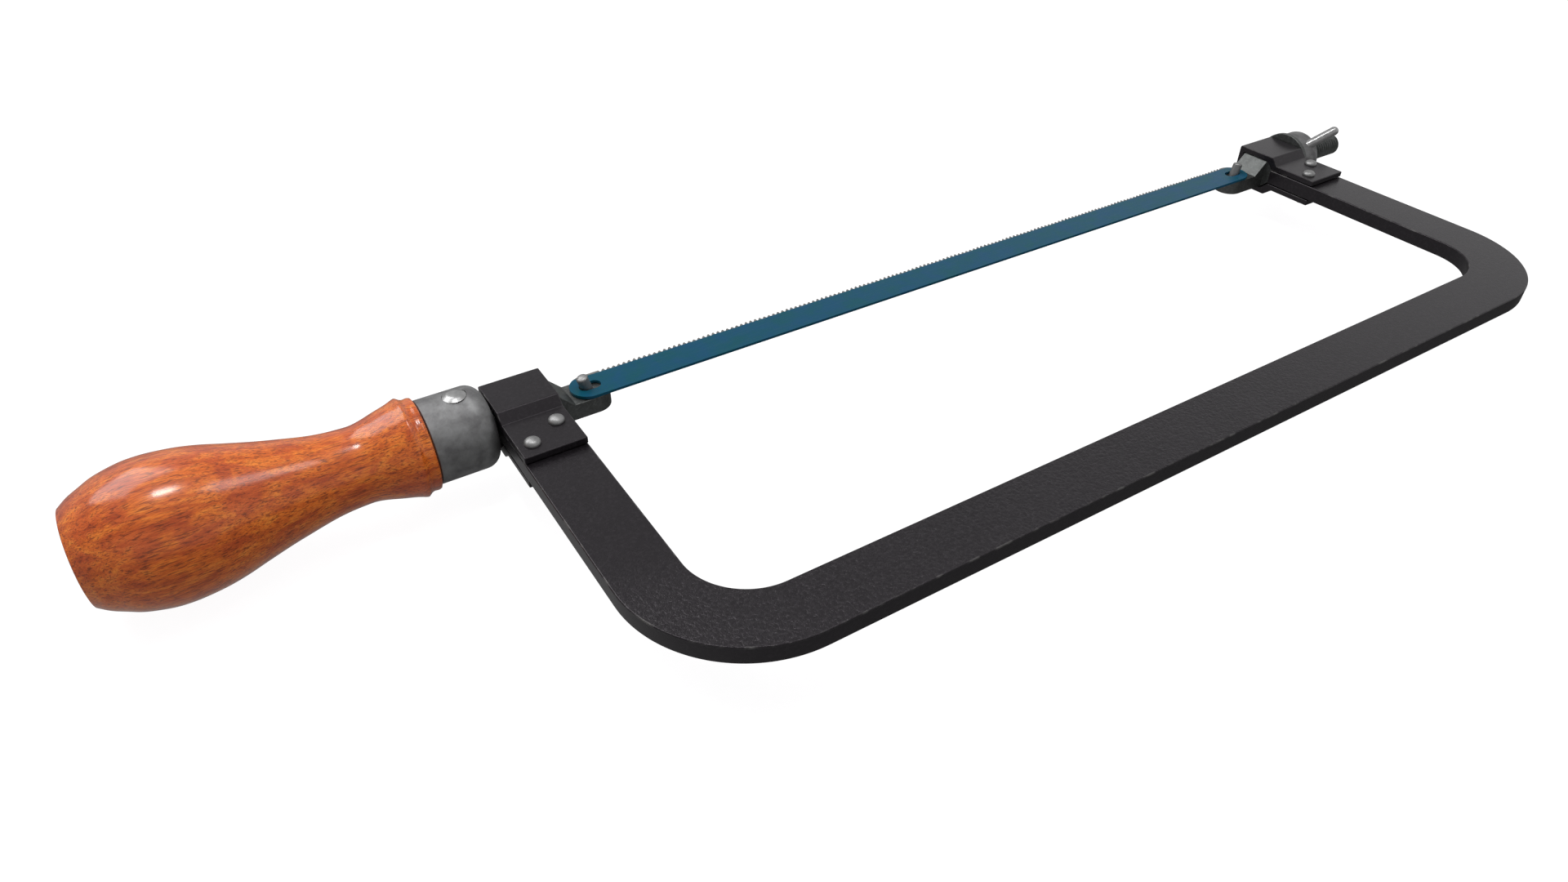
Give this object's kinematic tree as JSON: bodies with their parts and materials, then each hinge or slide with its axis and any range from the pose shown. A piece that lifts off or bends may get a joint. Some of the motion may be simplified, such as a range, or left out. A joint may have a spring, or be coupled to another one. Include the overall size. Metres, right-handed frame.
{
  "type": "hacksaw",
  "caption": "Hacksaw with a flat-bar U frame, riveted square sockets, a pin-end blade held by tab holders, a wing-nut tensioner and a turned wooden handle.",
  "frame": {"origin": "middle of the underside of the bounding box, with the saw lying flat on the side of its handle", "axes": "+X along the pull line from the handle to the wing nut, +Y in the plane of the frame the way the teeth point, +Z normal to the frame, up from the side it lies on"},
  "size_m": [0.5074, 0.1448, 0.0411],
  "materials": {
    "black_paint": "black paint with a fine orange-peel grain",
    "dark_steel": "dark forged steel, satin",
    "steel": "dull grey steel with a blotchy patina",
    "zinc": "light grey zinc plate",
    "blade_blue": "blue enamel, bare at the teeth",
    "varnished_wood": "glossy orange-red varnish over dark straight grain"
  },
  "bodies": {
    "frame": {"frame_bar": "black_paint", "rear_strap": "black_paint", "front_strap": "black_paint", "rear_strap_rivet_upper": "zinc", "rear_strap_rivet_lower": "zinc", "front_strap_rivet_upper": "zinc", "front_strap_rivet_lower": "zinc", "rear_blade_holder": "dark_steel", "rear_blade_pin": "zinc", "tension_washer": "steel", "ferrule": "steel", "tang_rivet": "zinc", "tang_rivet_burr": "zinc", "handle": "varnished_wood"},
    "blade": {"blade": "blade_blue"},
    "front_holder": {"front_blade_holder": "dark_steel", "front_blade_pin": "zinc"},
    "wing_nut": {"wing_nut_hub": "steel", "wing_nut_rod_upper": "zinc", "wing_nut_rod_lower": "zinc"}
  },
  "joints": [
    {"name": "wing_nut_turn", "type": "hinge", "parent": "frame", "child": "wing_nut", "pos_m": [0.21835, 0.05187, 0.02055], "axis": [1, 0, 0], "range_deg": [0, 360]},
    {"name": "tension_slide", "type": "slide", "parent": "frame", "child": "front_holder", "axis": [1, 0, 0], "range_m": [-0.0015, 0]},
    {"name": "blade_slack", "type": "slide", "parent": "frame", "child": "blade", "axis": [1, 0, 0], "range_m": [-0.00075005, 0]}
  ],
  "couplings": [
    {"joint": "tension_slide", "follows": "wing_nut_turn", "m_per_rad": -0.00023873},
    {"joint": "blade_slack", "follows": "wing_nut_turn", "m_per_rad": -0.00011937}
  ]
}
